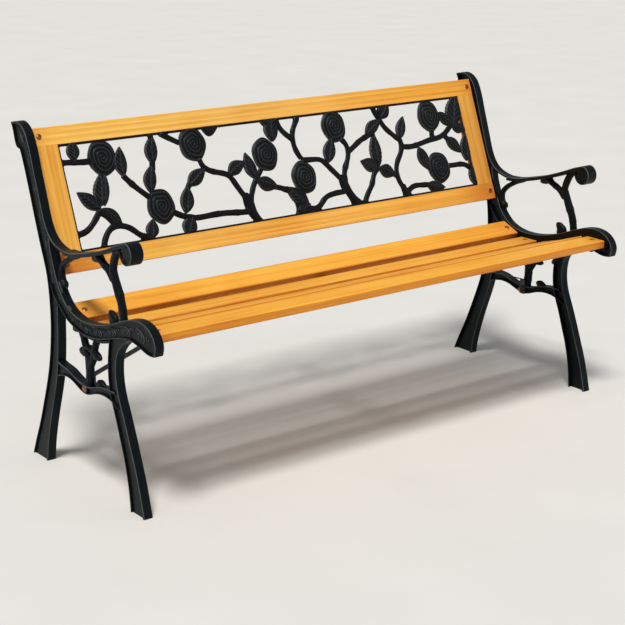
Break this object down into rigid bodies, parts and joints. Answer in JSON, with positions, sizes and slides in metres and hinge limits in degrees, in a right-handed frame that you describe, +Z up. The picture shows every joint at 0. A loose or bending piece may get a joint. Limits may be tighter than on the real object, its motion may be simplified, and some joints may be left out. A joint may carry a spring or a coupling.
{
  "type": "garden bench",
  "caption": "Garden bench with scrolled iron ends, timber slat seat, and a timber-framed openwork rose back panel.",
  "frame": {"origin": "on the ground, at mid length and mid depth", "axes": "+X along the bench, +Y towards the back, +Z up; one sits facing -Y"},
  "size_m": [1.278, 0.5472, 0.735],
  "materials": {
    "black_iron": "satin black paint over a cast surface",
    "black_panel": "satin black paint over a cast surface",
    "varnished_wood": "honey-orange varnish, satin",
    "black_steel": "black painted flat steel",
    "aged_steel": "plated steel weathered to a coppery brown"
  },
  "bodies": {
    "root": {"left_end_casting": "black_iron", "right_end_casting": "black_iron", "rose_panel": "black_panel", "back_top_rail": "varnished_wood", "back_bottom_rail": "varnished_wood", "back_left_stile": "varnished_wood", "back_right_stile": "varnished_wood", "seat_support_bar": "black_steel", "left_brace": "black_steel", "right_brace": "black_steel", "seat_slat_1": "varnished_wood", "seat_slat_2": "varnished_wood", "seat_slat_3": "varnished_wood", "seat_slat_4": "varnished_wood", "seat_slat_5": "varnished_wood", "seat_bolts": "aged_steel", "seat_bolt_washers": "aged_steel", "seat_bolt_nuts": "aged_steel", "back_bolts": "aged_steel", "back_bolt_washers": "aged_steel", "back_bolt_nuts": "aged_steel", "stretcher_bolts": "aged_steel", "stretcher_bolt_washers": "aged_steel", "stretcher_bolt_nuts": "aged_steel", "support_bar_screws": "aged_steel", "brace_screws": "aged_steel"}
  },
  "joints": []
}
